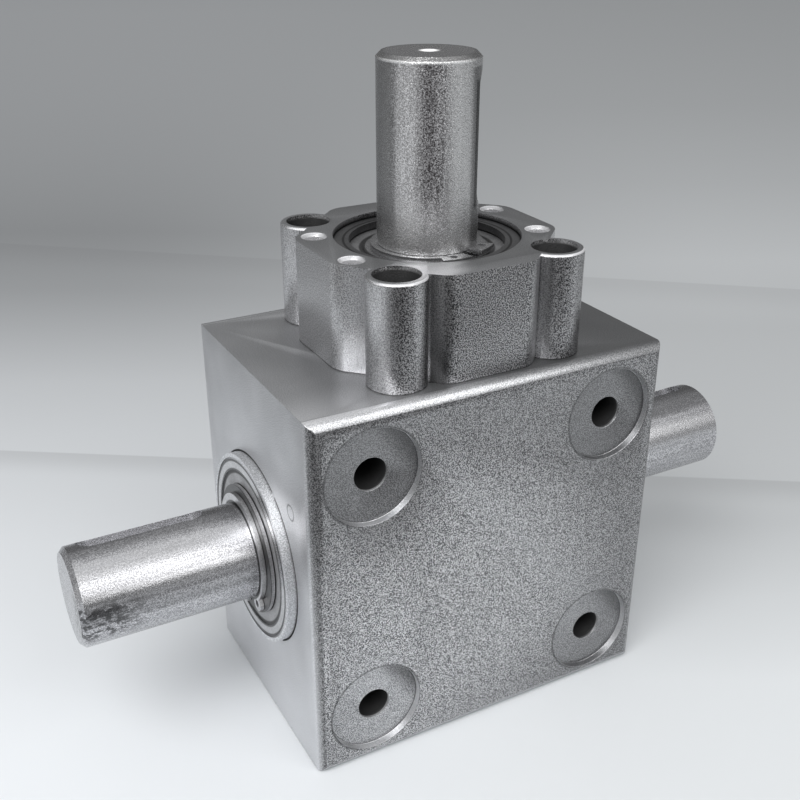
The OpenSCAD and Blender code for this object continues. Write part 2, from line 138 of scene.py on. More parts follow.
# %% The wire
class Wire:
    """One output socket, which can be used in Python sums."""

    def __init__(self, socket):
        self.socket = socket
        self.tree = socket.id_data

    @classmethod
    def node(cls, tree, kind, settings=None, sockets=None, out=0):
        made = tree.nodes.new(kind)
        for name, value in (settings or {}).items():
            if name == "stops":
                stops = made.color_ramp.elements
                while len(stops) < len(value):
                    stops.new(1.0)
                for stop, (place, shade) in zip(stops, value):
                    stop.position = place
                    stop.color = grey(shade)
            else:
                setattr(made, name, value)
        for name, value in (sockets or {}).items():
            if isinstance(value, Wire):
                tree.links.new(value.socket, made.inputs[name])
            else:
                made.inputs[name].default_value = value
        return cls(made.outputs[out])

    def sum(self, operation, *terms):
        return Wire.node(self.tree, "ShaderNodeMath", {"operation": operation},
                         dict(enumerate(terms)))

    def __add__(self, other):
        return self.sum("ADD", self, other)

    def __radd__(self, other):
        return self.sum("ADD", other, self)

    def __sub__(self, other):
        return self.sum("SUBTRACT", self, other)

    def __rsub__(self, other):
        return self.sum("SUBTRACT", other, self)

    def __mul__(self, other):
        return self.sum("MULTIPLY", self, other)

    def __rmul__(self, other):
        return self.sum("MULTIPLY", other, self)

    def __truediv__(self, other):
        return self.sum("DIVIDE", self, other)

    def __rtruediv__(self, other):
        return self.sum("DIVIDE", other, self)

    def __pow__(self, other):
        return self.sum("POWER", self, other)

    def __neg__(self):
        return self * -1

    def __abs__(self):
        return self.sum("ABSOLUTE", self)

    def sign(self):
        return self.sum("SIGN", self)

    def at_least(self, least):
        return self.sum("MAXIMUM", self, least)

    def rise(self, low, high):
        """0 below low, 1 above high, with a soft slope between."""
        return Wire.node(self.tree, "ShaderNodeMapRange", {"interpolation_type": "SMOOTHSTEP"},
                         {"Value": self, "From Min": low, "From Max": high})

    def fall(self, low, high):
        """1 below low, 0 above high, with a soft slope between."""
        return 1 - self.rise(low, high)

    def band(self, low, full, fading, high):
        """0 below low, 1 from full to fading, and 0 again above high."""
        return self.rise(low, full) * self.fall(fading, high)

    def between(self, low, high):
        """Takes 0 to 1 on to the numbers from low to high."""
        return low + self * (high - low)


# %% [markdown]
# ## Shades and distances
# Node sockets want a colour with its alpha. Most shades on the gearbox are a grey with a trace of
# blue in it, as silver paint has. A groove round an axis is a thin ring: the distance to the axis,
# compared with the groove's radius.


# %% Shades and rings
def grey(shade):
    """A colour with its alpha, from one number or from three."""
    r, g, b = shade if hasattr(shade, "__len__") else (shade,) * 3
    return (r, g, b, 1)


def cool(shade):
    """That grey with a trace of blue."""
    return (shade, shade, shade * 1.02)


def reach(across, along):
    """The distance from an axis, from two distances square to it."""
    return (across * across + along * along) ** 0.5


def ring_gap(across, along, radius, half):
    """1 on a thin circle of that radius round an axis, 0 further than half away from it."""
    return abs(reach(across, along) - radius).fall(half * 0.4, half)


def oval(across, along, half_wide, half_high):
    """0 in the middle of an oval patch, 1 on its rim."""
    return (across / half_wide) ** 2.0 + (along / half_high) ** 2.0


# The black of dark joints, and of painted shade down in holes and in the gaps between rings.
JOINT_AND_SHADE_BLACK = cool(0.012)

# %% [markdown]
# ## A blank for every finish
# Each material starts from the same things: the place of a point on the piece, in millimetres, its
# unbumped normal, and a Principled shader. The piece's own coordinates are used throughout, because
# they stay with it when a shaft turns. The colour is built up in layers, each laid over the last.


# %% Material blank
class Finish:
    """A material with one Principled shader, and the wires that its pattern starts from."""

    def __init__(self, name, **constants):
        self.material = bpy.data.materials.new(name)
        self.material.use_nodes = True
        self.tree = self.material.node_tree
        self.shader = self.tree.nodes["Principled BSDF"]
        for socket, value in constants.items():
            self.shader.inputs[socket.replace("_", " ")].default_value = value
        self.spot = self.node("ShaderNodeTexCoord", out=3)
        self.x, self.y, self.z = (part / MM for part in self.split(self.spot))
        self.nx, self.ny, self.nz = self.split(self.node("ShaderNodeTexCoord", out=1))
        self.colour = None

    def node(self, kind, settings=None, sockets=None, out=0):
        return Wire.node(self.tree, kind, settings, sockets, out)

    def split(self, vector):
        parts = self.node("ShaderNodeSeparateXYZ", sockets={0: vector}).socket.node
        return [Wire(parts.outputs[i]) for i in range(3)]

    def facing(self, x, y):
        """1 where the surface faces that level direction, 0 where it is side on to it."""
        return self.nx * x + self.ny * y

    def noise(self, size_mm, detail, roughness, stretch=(1, 1, 1)):
        """Soft noise, about 0 to 1, whose lumps are size_mm across, drawn out by stretch."""
        place = self.node("ShaderNodeMapping", sockets={
            "Vector": self.spot, "Scale": tuple(1 / (size_mm * MM * s) for s in stretch)})
        return self.node("ShaderNodeTexNoise", {}, {
            "Vector": place, "Scale": 1.0, "Detail": detail, "Roughness": roughness})

    def mix(self, share, first, second):
        """A colour between two, by share."""
        one, two = (v if isinstance(v, Wire) else grey(v) for v in (first, second))
        return self.node("ShaderNodeMix", {"data_type": "RGBA"}, {0: share, 6: one, 7: two}, out=2)

    def layer(self, share, shade):
        """Lays a shade over the colour so far, by share."""
        self.colour = self.mix(share, self.colour, shade)

    def bump(self, height, depth_mm, strength=1.0):
        """A normal that follows the height, in which 1 stands for depth_mm."""
        return self.node("ShaderNodeBump", {}, {
            "Strength": strength, "Distance": depth_mm * MM, "Height": height})

    def set(self, **wires):
        wires.setdefault("Base_Color", self.colour)
        for socket, wire in wires.items():
            self.tree.links.new(wire.socket, self.shader.inputs[socket.replace("_", " ")])
        print(self.material.name, "has", len(self.tree.nodes), "nodes")
        return self.material


# %% [markdown]
# ## Silver paint
# Everything was sprayed together in one silver: metal flake under a clear film. On the rough cast
# faces the film draws up into tiny lumps, which break every reflection into dark and bright specks.
# On the machined faces the same paint lies nearly flat. One recipe covers both: a wire called
# coarse is 1 where the skin is cast and 0 where it was cut. The lumps could be real ones in the
# mesh, but they are a third of a millimetre wide and would need millions of faces. Noise in the
# colour and in the bump gives the same glitter.


# %% Paint
def silver(paint, coarse, tone):
    """Gives the paint its first colour, and hands back its roughness and relief."""
    def film(red, green, blue):
        return tone * red, tone * green, tone * blue

    lumps = paint.noise(0.34, 1.0, 0.6)
    dust = paint.noise(0.25, 0.0, 0.5)
    cloud = paint.noise(16, 2.0, 0.5)
    specks = (lumps * 0.5 + dust * 0.5).rise(0.41, 0.61)
    rough_skin = paint.mix(specks, film(0.18, 0.18, 0.19), film(1.9, 1.9, 1.93))
    flat_tone = (dust * 0.75 + cloud * 0.25).rise(0.36, 0.64)
    flat_skin = paint.mix(flat_tone, film(1.02, 1.04, 1.07), film(1.66, 1.67, 1.71))
    paint.colour = paint.mix(coarse, flat_skin, rough_skin)
    rough = 0.32 - coarse * 0.06 + dust * 0.05
    relief = lumps * coarse + dust * (0.12 + coarse * 0.2)
    return rough, relief


# %% [markdown]
# ## The box
# The front and back faces are cast, and the top, the floor and the sides are machined. Each could
# have a material of its own, but then the paint would break at the rounded edges. In one material
# the normal tells the faces apart, softly. The round spot faces were cut too, so their grain is
# finer.

# %% The box's paint
box = Finish("box_paint", Metallic=0.9)
hole_x, hole_z = abs(box.x) - HOLE, abs(box.z - AXIS) - HOLE
upright_edge = abs(box.nz).fall(0.1, 0.35)
side = abs(box.nx).rise(0.5, 0.9)
face = abs(box.ny).rise(0.9, 0.98)
cast = abs(box.ny).rise(0.3, 0.7) * upright_edge.between(0.3, 1.0)
spot_floor = abs(box.y).fall(SPOT_FLOOR + 0.2, SPOT_FLOOR + 0.9) * face
rough, relief = silver(box, cast * (1 - spot_floor * 0.35), tone=0.42)

# %% [markdown]
# ## The spot faces and their holes
# Each spot face lies a little below the skin. Its floor is painted darker, the more so the higher it
# sits, and the shadow of its wall is painted as a narrow shade at the upper right of the floor. A
# painted dark line of shade runs along the foot of the wall, and another round the rim, except at the
# lower right, where the light comes in. Down in the hole, where there is almost no paint and no light,
# it is painted black as shade.

# %% Spot faces
spot_x = box.x - box.x.sign() * HOLE
spot_z = box.z - AXIS - (box.z - AXIS).sign() * HOLE
# Painted shade: the spot floors are darker the higher they sit.
box.layer(spot_floor * box.z.rise(25, 60).between(0.05, 0.3), cool(0.08))
lee_shade = ((spot_x * 0.8 + spot_z * 0.6) / SPOT_R).rise(0.45, 0.95) * spot_floor
wall_foot_shade = ring_gap(hole_x, hole_z, SPOT_R - 0.05, 0.3) * face
# Painted shade: the wall's shadow on the floor, and a dark line along the wall's foot.
box.layer((lee_shade + wall_foot_shade) * 0.7, cool(0.03))
lit_rim = (spot_x * 0.7 - spot_z * 0.7).rise(2, 8)
rim_shade_line = ring_gap(hole_x, hole_z, SPOT_R + 0.25, 0.5) * cast * abs(box.y).rise(FRONT - 1.1, FRONT - 0.8)
# Painted shade: a dark line round the rim, left out where the light comes in.
box.layer(rim_shade_line * (1 - lit_rim) * 0.6, 0.03)
sunk = abs(box.y).fall(SPOT_FLOOR - 0.8, SPOT_FLOOR - 0.2)
hole_shade = reach(hole_x, hole_z).fall(HOLE_R, HOLE_R + 0.2) * sunk

# %% [markdown]
# ## Painted light and shade over the box
# The rounded upright edges and the rim of the front are painted darker, as painted shade, and so is
# the low right part of the front. The top is painted dark, darkest at the right and a little less so
# behind, with a painted highlight at the left corner in front. The left side is painted darker in a
# strip high along its front edge, and the sides are painted paler near the floor, as painted light.

# %% The box's shades
turned = abs(box.nx).band(0.12, 0.4, 0.82, 0.95) * upright_edge
# Painted shade on the rounded upright edges.
box.layer(turned * 0.6, cool(0.1))
GLOW_X, GLOW_Z = -12, 34
front_rim_shade = oval(box.x - GLOW_X, box.z - GLOW_Z, 56, 59).rise(0.1, 0.95)
# Painted shade towards the rim of the front.
box.layer(front_rim_shade * face * 0.5, cool(0.12))
low_front_shade = box.z.fall(4, 22) * face * box.x.rise(-30, -4)
# Painted shade low on the right of the front.
box.layer(low_front_shade * 0.2, cool(0.1))
lid = box.nz.rise(0.6, 0.95)
left_front_highlight = box.x.fall(-36, 4) * box.y.fall(-33, -17) * 0.8
top_shade = box.x.rise(-30, 32).between(0.22, 0.62) * (1 - box.y.rise(0, 26) * 0.3)
# Painted shade on the top, darkest at the right.
box.layer(lid * top_shade * (1 - left_front_highlight), cool(0.06))
# Painted highlight at the left corner in front of the top.
box.layer(lid * left_front_highlight * 0.5, cool(0.95))
side_front_shade = box.y.fall(-33, -24) * (-box.nx).rise(0.5, 0.9) * box.z.rise(50, 75)
# Painted shade in a strip high along the front edge of the left side.
box.layer(side_front_shade * 0.16, cool(0.1))
# Painted light: the sides are paler near the floor.
box.layer(side * box.z.fall(0, 90) * 0.5, cool(0.85))

# %% [markdown]
# ## Marks on the box
# A dark hairline runs round each sleeve, where the paint cracked at the joint, but for one spot that
# the paint bridges. A small round plug shows as a ring on the left side. A low ridge runs along the
# sides, where the cutter stopped.

# %% The box's marks
PLUG_Y, PLUG_Z, PLUG_R, BRIDGE_Y = -23.6, 71.5, 1.9, -13
# Painted shade: the inside of each hole is black.
box.layer(hole_shade, JOINT_AND_SHADE_BLACK)
seam = ring_gap(box.y, box.z - AXIS, SLEEVE_R + 0.2, 0.46) * abs(box.nx).rise(0.3, 0.8)
seam = seam * abs(box.y - BRIDGE_Y).rise(0.5, 0.8)
box.layer(seam * 0.97, JOINT_AND_SHADE_BLACK)
plug = ring_gap(box.y - PLUG_Y, box.z - PLUG_Z, PLUG_R, 0.3) * (-box.nx).rise(0.3, 0.8)
box.layer(plug * 0.6, 0.06)
ridge = abs(abs(box.y) - (FRONT - 3.1)).fall(0.05, 0.4)
height = relief + ridge * (1 - cast) * 0.8 - plug * 2
housing_paint = box.set(Roughness=rough + side * 0.1 + hole_shade * 0.3 + seam * 0.3,
                        Normal=box.bump(height, 0.06), Metallic=0.9 - hole_shade * 0.9)

# %% [markdown]
# ## The neck
# The neck is cast all round its wall and cut flat on top. Its lumps stand a little higher than on
# the box. The masks go by the distance from the nearest boss, the height over the foot and the
# depth below the top face.

# %% The neck's paint
neck = Finish("neck_paint")
wall = neck.nz.fall(0.6, 0.92)
rough, relief = silver(neck, wall, tone=0.38)
climb, sink = neck.z - NECK_FOOT, NECK_TOP - neck.z
from_boss = reach(abs(neck.x) - BOSS_X, abs(neck.y) - BOSS_Y)
on_boss = from_boss.fall(BOSS_R + 0.15, BOSS_R + 0.65) * wall
off_boss = from_boss.rise(BOSS_R + 0.15, BOSS_R + 0.65) * wall

# %% [markdown]
# ## Painted light and shade round the neck
# The wall is painted darkest in the corners beside the bosses, which catch the least light, and
# darker on the front, as painted shade. The slanted corner faces are painted darker high up; the
# corner to the left is painted paler along its foot, but dark at the foot in one niche. The side
# towards the lamp and the faces towards the front right are painted paler, as painted light.

# %% The neck's wall
beside = from_boss.fall(BOSS_R, 13) * (-neck.ny).rise(0.1, 0.7) * (wall + off_boss) / 2
# Painted shade in the corners beside the bosses.
neck.layer(beside * 0.75, (0.03, 0.028, 0.028))
# Painted light on the side towards the lamp.
neck.layer((-neck.nx).rise(0.3, 0.9) * wall * 0.45, cool(0.75))
# Painted shade on the front.
neck.layer((-neck.ny).rise(0.85, 0.97) * off_boss * 0.3, 0.03)
slant = (neck.nx * neck.ny * 2).rise(0.5, 0.9) * off_boss
# Painted shade high on the slanted faces.
neck.layer(slant * climb.rise(5, 19) * 0.36, cool(0.05))
niche = neck.x.band(-21, -18, -8, -4)
# Painted light along the foot of the slanted faces.
neck.layer(slant * climb.fall(3, 13) * (1 - niche) * 0.5, cool(0.9))
# Painted shade at the foot in the niche.
neck.layer(slant * niche * climb.fall(3, 19).between(0.35, 0.93), cool(0.02))
east_light = neck.nx.rise(0.2, 0.6) * (-neck.ny).rise(0.3, 0.6) * off_boss
# Painted light on the faces towards the front right.
neck.layer(east_light * 0.5, cool(0.85))

# %% [markdown]
# ## The bosses
# The room's reflection is painted on each round boss as upright stripes: a dark one in front and a
# narrow bright one beside it. The right boss stands in more shade, so its dark one is painted
# stronger. The left and the right pair share the masks, and one wire, 0 at the left and 1 at the
# right, turns them a little.

# %% Stripes on the bosses
right_boss = neck.x.rise(-1, 1)
reflection_stripe = neck.facing(right_boss.between(-0.5, -0.69), right_boss.between(-0.87, -0.72))
# Painted reflection: a dark upright band in front on each boss.
neck.layer(reflection_stripe.rise(0.955, 0.998) * on_boss * right_boss.between(0.2, 0.6), 0.02)
# Painted reflection: a narrow bright upright band beside it.
neck.layer(neck.facing(0.34, -0.94).rise(0.95, 0.995) * on_boss * 0.15, cool(0.9))

# %% [markdown]
# ## The top of the neck
# The top face is dull and painted darker, more at the right, with one painted bright patch in front
# at the left. The screw holes are painted dark far down inside, as shade, and so is the bore's wall
# below its rim. The small tapped holes caught so much spray that they look pale, and their paleness
# also stands for a painted reflection of the light overhead. Their paint has lost its shine. A
# painted line of light runs along the rounded edges, and the joint with the box is a fine dark line.

# %% The neck's top and holes
lid = neck.nz.rise(0.8, 0.95) * sink.fall(0.05, 0.3)
PATCH_X, PATCH_Y, TAP_RIM = -14, -25, 3.2
light = oval(neck.x - PATCH_X, neck.y - PATCH_Y, 12, 7).fall(0.2, 1.2)
# Painted shade on the top face, darker at the right.
neck.layer(lid * (1 - light) * neck.x.rise(-30, 6).between(0.3, 0.42), cool(0.04))
# Painted highlight: the bright patch in front at the left.
neck.layer(lid * light * 0.3, cool(0.95))
below_rim = sink.rise(0.3, 1.2)
hole_shade = from_boss.fall(SCREW_HOLE_R, SCREW_HOLE_R + 0.15) * below_rim
# Painted shade: the screw holes are dark inside.
neck.layer(hole_shade * 0.97, cool(0.02))
from_tap = reach(abs(neck.x) - TAP_X, abs(neck.y) - TAP_Y)
tap = from_tap.fall(TAP_RIM, TAP_RIM + 0.2) * sink.rise(0.05, 0.3)
# The tapped holes are pale with spray, and their paleness is also a painted reflection of light overhead.
neck.layer(tap * 0.85, cool(0.62))
foot_line = abs(climb).fall(0.12, 0.26)
neck.layer(foot_line * 0.85, 0.03)
bore_shade = reach(neck.x, neck.y).fall(BEARING_R - 0.1, BEARING_R + 0.4)
# Painted shade on the bore's wall below the rim.
neck.layer(bore_shade * below_rim * 0.8, cool(0.12))
edge_light = neck.nz.band(0.2, 0.4, 0.86, 0.96) * sink.fall(0.7, 1.1)
edge_light = edge_light * (-neck.ny).rise(0.15, 0.4) * (1 - hole_shade) * (1 - tap * 0.8)
# Painted highlight: the line of light along the rounded edges.
neck.layer(edge_light * 0.75, cool(0.95))
neck_paint = neck.set(Roughness=rough + hole_shade * 0.2, Normal=neck.bump(relief, 0.07),
                      Metallic=0.9 - hole_shade * 0.6 - edge_light * 0.5 - tap * 0.35)

# %% [markdown]
# ## The sleeves
# The sleeves were bored in place and stand a little proud of the sides. They are nearly smooth. The
# joint between sleeve and bearing is a black line, blackest at the left and below and fainter elsewhere.

# %% The sleeves' paint
rim = Finish("sleeve_paint", Metallic=0.9)
rough, relief = silver(rim, 0.04, tone=0.54)
bore_line = ring_gap(rim.y, rim.z - AXIS, BEARING_R + 0.1, 0.45) * abs(rim.nx).rise(0.3, 0.8)
open_side = (rim.y * 0.8 - (rim.z - AXIS) * 0.6).rise(-12, 6)
rim.layer(bore_line * open_side.between(0.35, 1.0) * 0.95, JOINT_AND_SHADE_BLACK)
sleeve_paint = rim.set(Roughness=rough + 0.14, Normal=rim.bump(relief, 0.06))

# %% [markdown]
# ## Ground steel under a thin spray
# The shafts were ground, then sprayed thinly. The film is grainy where it is thick, and streaks
# along the shaft show where it was wiped. Both shafts start from the same recipe, which draws one
# of its noises out along the shaft.


# %% Shaft steel
STREAK_STRETCH, STEEL_SHADE = 22, 0.47


def ground_steel(name, along, tint, grain_mm, mottle):
    """The finish of a shaft that lies along axis 0 or 2, its dust, its streaks and its relief."""
    steel = Finish(name, Metallic=0.92)
    grain = steel.noise(grain_mm, 2.0, 0.6)
    dust = steel.noise(0.3, 0.0, 0.5)
    stretch = tuple(STREAK_STRETCH if i == along else 1 for i in range(3))
    drawn = steel.noise(0.8, 3.0, 0.6, stretch)
    streaks = drawn.rise(0.52, 0.72)
    share = (grain * 0.4 + dust * 0.4 + drawn * 0.2).rise(0.4, 0.61)
    low, high = STEEL_SHADE - mottle, STEEL_SHADE + mottle
    steel.colour = steel.mix(share, (low + tint, low, low + 0.01 - tint),
                             (high + tint, high, high + 0.02 - tint))
    return steel, dust, streaks, grain * 0.8 + dust * 0.2 + streaks * 0.1


# %% [markdown]
# ## The through shaft
# Its left end has dark scuffs from handling at the height of the axis, and is worn above them. Level
# bands of light and shade from the tent are painted along it. More spray settled in the keyways.

# %% Scuffs and bands on the through shaft
bar, dust, streaks, relief = ground_steel("through_shaft_steel", 0, 0.0, 0.34, 0.19)
lift = bar.z - AXIS
near_end = (-bar.x).rise(SHAFT_END - 18, SHAFT_END - 7)
flecks = bar.noise(1.3, 3.0, 0.7, (2.2, 1, 1)).rise(0.44, 0.56)
scuffs = near_end * lift.band(-8, -4, 4, 8) * bar.y.fall(-8, -2) * flecks
bar.layer(scuffs * 0.85, cool(0.05))
worn = near_end * lift.rise(2, 8) * streaks
bar.layer(worn * 0.5, (0.26, 0.27, 0.29))
left_end = (-bar.x).rise(0, 1)
left_highlight_bands = bar.nz.band(0.18, 0.32, 0.42, 0.56) * 0.38 + bar.nz.band(0.68, 0.8, 0.9, 0.96) * 0.42
right_highlight_band = bar.nz.band(0.2, 0.35, 0.6, 0.74) * 0.6
highlight_bands = left_end * left_highlight_bands + (1 - left_end) * right_highlight_band
# Painted highlights: bright level bands along the shaft.
bar.layer(highlight_bands * (-bar.ny).rise(0, 0.3), cool(0.9))
level_shade_band = abs(bar.nz + 0.02).fall(0.03, 0.2) * (-bar.ny).rise(0.5, 0.8)
crown_shade = bar.nz.rise(0.95, 0.985)
right_high_shade = bar.nz.rise(0.74, 0.86) * (1 - left_end)
# Painted shade: dark level bands on top, along the front and high on the right part.
bar.layer(left_end * (crown_shade + level_shade_band) * 0.4 + right_high_shade * 0.55, cool(0.05))
key_floor = reach(bar.y, lift).fall(SHAFT_R - 2.9, SHAFT_R - 1.1) * abs(bar.nx).fall(0.3, 0.6)
bar.layer(key_floor * dust.rise(0.3, 0.6).between(0.6, 0.95), cool(0.95))
through_steel = bar.set(Roughness=0.2 + dust * 0.1, Normal=bar.bump(relief, 0.035))

# %% [markdown]
# ## The upright shaft
# Its colour speckle, which stands for glitter, is kept to the side that faces the lamp and calmed
# elsewhere. Painted bright and dark upright bands of light and shade follow one another round it,
# and its foot, above the ring, is painted pale as light.

# %% Bands on the upright shaft
post, dust, streaks, relief = ground_steel("output_shaft_steel", 2, 0.008, 0.4, 0.36)
lamp_side = post.facing(-0.66, -0.75)
# Colour speckle, standing for glitter, is calmed away from the lamp.
post.layer(lamp_side.fall(0.78, 0.96) * 0.75, 0.5)
# Painted shade: a dark upright band at the left.
post.layer((-post.nx).rise(0.85, 0.97) * 0.5, 0.12)
# Painted reflections: narrow bright upright bands.
post.layer(post.facing(0.17, -0.98).rise(0.93, 0.99) * 0.2, 0.95)
post.layer(post.facing(-0.79, -0.62).rise(0.95, 0.995) * 0.35, 0.95)
dark_middle = post.facing(-0.54, -0.84).rise(0.97, 0.998)
# Painted shade: a dark band in the middle, high up.
post.layer(dark_middle * post.z.rise(130, 145) * 0.2, (0.08, 0.07, 0.075))
# Painted light on the side towards the lamp, low down.
post.layer(lamp_side.rise(0.8, 0.95) * post.z.fall(130, 140) * 0.4, 0.9)

# %% [markdown]
# ## The upright shaft's end and keyway
# The end face is dull, and the light in the centre drill is a painted highlight. The chamfer is
# painted dark, with a painted line of light below it in front. The keyway stands nearly side on: its
# inside is painted black as shade, with a painted black line of shade along its edge and a painted
# dark band beside it.

# %% End, chamfer and keyway
KEY_TURN, KEY_EDGE, KEY_LOW, KEY_HIGH = math.radians(30), -4.85, 133.25, 163.25
DRILL_R, DRILL_RIM = 1.8, 3.0
from_axis = reach(post.x, post.y)
top = post.z.rise(SHAFT_TOP - 3, SHAFT_TOP - 2.5)
drill = from_axis.fall(DRILL_R, DRILL_RIM) * top
post.layer(post.nz.rise(0.8, 0.95) * top * 0.8, cool(0.33))
# Painted highlight: the light in the centre drill.
post.layer(drill, 0.95)
keyway_shade = from_axis.fall(SHAFT_R - 0.6, SHAFT_R - 0.15) * (1 - top)
# Painted shade inside the keyway.
post.layer(keyway_shade * 0.9, 0.02)
foot_highlight = post.z.fall(NECK_TOP, NECK_TOP + 5.5)
# Painted light on the foot, above the ring.
post.layer(foot_highlight * 0.7, 0.95)
chamfer = post.z.rise(SHAFT_TOP - 1, SHAFT_TOP - 0.8) * from_axis.rise(SHAFT_R - 2.1, SHAFT_R - 1.7)
# Painted shade on the chamfer.
post.layer(chamfer * 0.5, 0.12)
in_front = (post.x * -0.56 + post.y * -0.83).rise(3, 9)
chamfer_highlight = abs(post.z - (SHAFT_TOP - 1.2)).fall(0.2, 0.4) * in_front
# Painted highlight: a line of light below the chamfer in front.
post.layer(chamfer_highlight * 0.8, 0.95)
beside_key = post.x * math.sin(KEY_TURN) + post.y * math.cos(KEY_TURN)
towards_key = post.x * math.cos(KEY_TURN) - post.y * math.sin(KEY_TURN)
key_edge_shade = abs(beside_key - KEY_EDGE).fall(0.7, 1.1) * towards_key.rise(0, 5)
key_ends = post.z.band(KEY_LOW - 0.75, KEY_LOW + 0.75, KEY_HIGH - 0.75, KEY_HIGH + 0.75)
# Painted shade: a black line along the keyway's edge.
post.layer(key_edge_shade * key_ends * 0.95, 0.01)
# Painted shade: a dark band beside the keyway.
post.layer(post.facing(0.6, -0.8).rise(0.965, 0.995) * (1 - top) * 0.55, 0.04)
output_steel = post.set(Roughness=0.2 + dust * 0.1, Metallic=0.92 - drill * 0.85,
                        Normal=post.bump(relief, 0.17))

# %% [markdown]
# ## Small steel parts, seals and screws
# The retaining rings, races, gears and screws are bare or thinly sprayed steel. One recipe with a
# few numbers does for all: a base shade, how rough, and how strong the mottling is. The grooves
# between the rings of a bearing, and the gaps round the shafts, are painted black as the shade in
# them. What lies down in the neck's well gets less light and is painted darker, and a dark line parts
# the ring from the shim on the through shaft.


# %% Small parts
def small_steel(name, shade, rough, mottle, grain_mm=0.5, metallic=0.9, gaps=()):
    steel = Finish(name, Metallic=metallic)
    spots = steel.noise(grain_mm, 2.0, 0.6)
    stain = steel.noise(grain_mm * 9, 2.0, 0.5)
    share = (spots * 0.6 + stain * 0.4).rise(0.3, 0.7)
    steel.colour = steel.mix(share, cool(shade * (1 - mottle)), cool(min(1.0, shade * (1 + mottle))))
    for radius, half in gaps:
        side_gap = ring_gap(steel.y, steel.z - AXIS, radius, half) * abs(steel.nx).rise(0.4, 0.8)
        top_gap = ring_gap(steel.x, steel.y, radius, half) * abs(steel.nz).rise(0.4, 0.8)
        # Painted shade: the gaps between rings are black.
        steel.layer((side_gap + top_gap) * 0.93, JOINT_AND_SHADE_BLACK)
    well_shade = (NECK_TOP - steel.z).band(0.5, 0.7, 11.5, 13.5)
    # Painted shade down in the neck's well.
    steel.layer(well_shade * 0.4, cool(0.04))
    steel.layer(abs(abs(steel.x) - SHIM_FACE).fall(0.06, 0.2) * 0.9, 0.02)
    return steel.set(Roughness=spots.between(rough * 0.85, rough * 1.15),
                     Normal=steel.bump(spots, 0.03, 0.5))


bore_gaps = ((BEARING_R - 0.1, 0.4), (OUTER_SEAL_R + 0.2, 0.4))
race_gaps = ((BEARING_R - 0.2, 0.6), (OUTER_SEAL_R, 0.6), (INNER_SEAL_R, 0.6), (SHAFT_R + 0.2, 0.4))
seal_gaps = ((OUTER_SEAL_R - 0.4, 0.9), (INNER_SEAL_R + 0.5, 0.9))
bore_steel = small_steel("bore_ring_steel", 0.2, 0.4, 0.3, gaps=bore_gaps)
ring_steel = small_steel("ring_steel", 0.6, 0.3, 0.25, 0.4, gaps=((SHAFT_R + 0.2, 0.7),))
lug_steel = small_steel("lug_steel", 0.62, 0.26, 0.3, 0.4)
race_steel = small_steel("race_steel", 0.6, 0.26, 0.15, gaps=race_gaps)
ball_steel = small_steel("ball_steel", 0.78, 0.12, 0.04, metallic=1.0)
cage_steel = small_steel("cage_steel", 0.6, 0.3, 0.1)
gear_steel = small_steel("gear_steel", 0.48, 0.34, 0.15, metallic=1.0)
screw_steel = small_steel("screw_steel", 0.1, 0.5, 0.35)
seal_film = small_steel("seal_film", 0.36, 0.42, 0.3, 0.4, metallic=0.6, gaps=seal_gaps)

# %% [markdown]
# ## Soft edges on the castings
# A cast or sprayed edge is never a knife edge: a line of light runs along it. The solids have sharp
# ones, because they stay plain for the collision. So the castings are copied, their loose triangles
# merged back to whole faces, and a narrow bevel is cut along each sharp edge. Smooth shading alone
# would blur the flat faces. The copies then stand for the solids.


# %% Softened copies
def only(piece):
    bpy.ops.object.select_all(action="DESELECT")
    piece.select_set(True)
    bpy.context.view_layer.objects.active = piece


def merged_copy(node):
    """A copy of a solid whose triangles are joined, and laid together where they are level."""
    only(nodes[node])
    bpy.ops.object.duplicate()
    piece = bpy.context.view_layer.objects.active
    piece.name = node + "_soft"
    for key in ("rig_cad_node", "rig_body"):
        del piece[key]
    bpy.ops.object.mode_set(mode="EDIT")
    bpy.ops.mesh.select_all(action="SELECT")
    bpy.ops.mesh.remove_doubles(threshold=0.002 * MM)
    bpy.ops.mesh.dissolve_limited(angle_limit=math.radians(0.5))
    bpy.ops.object.mode_set(mode="OBJECT")
    return piece


def soften(piece, width_mm, sharp_degrees=32):
    only(piece)
    bevel = piece.modifiers.new("edge", "BEVEL")
    bevel.width, bevel.segments = width_mm * MM, 2
    bevel.limit_method, bevel.angle_limit = "ANGLE", math.radians(sharp_degrees)
    bevel.use_clamp_overlap = True
    bpy.ops.object.modifier_apply(modifier="edge")
    bpy.ops.object.shade_smooth_by_angle(angle=math.radians(40))


def stand_for(piece, node, body):
    piece.parent = None
    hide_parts(node)
    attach(piece, body)
    print(piece.name, "faces:", len(piece.data.polygons))


soft_box = merged_copy("housing")
soften(soft_box, 0.35)
stand_for(soft_box, "housing", "gear_case")

# %% [markdown]
# ## Rounded corners on the neck
# The neck is an octagon whose upright edges came out of the mould well rounded. They are picked by
# their place, at the corners of the octagon, and bevelled before the soft edges are cut.


# %% The neck's corners
def near(value, wanted_mm):
    return abs(abs(value) - wanted_mm * MM) < 0.05 * MM


def on_corner(point):
    flat = NECK_HALF - NECK_CORNER
    at_side = near(point.x, NECK_HALF) and near(point.y, flat)
    at_front = near(point.y, NECK_HALF) and near(point.x, flat)
    return at_side or at_front


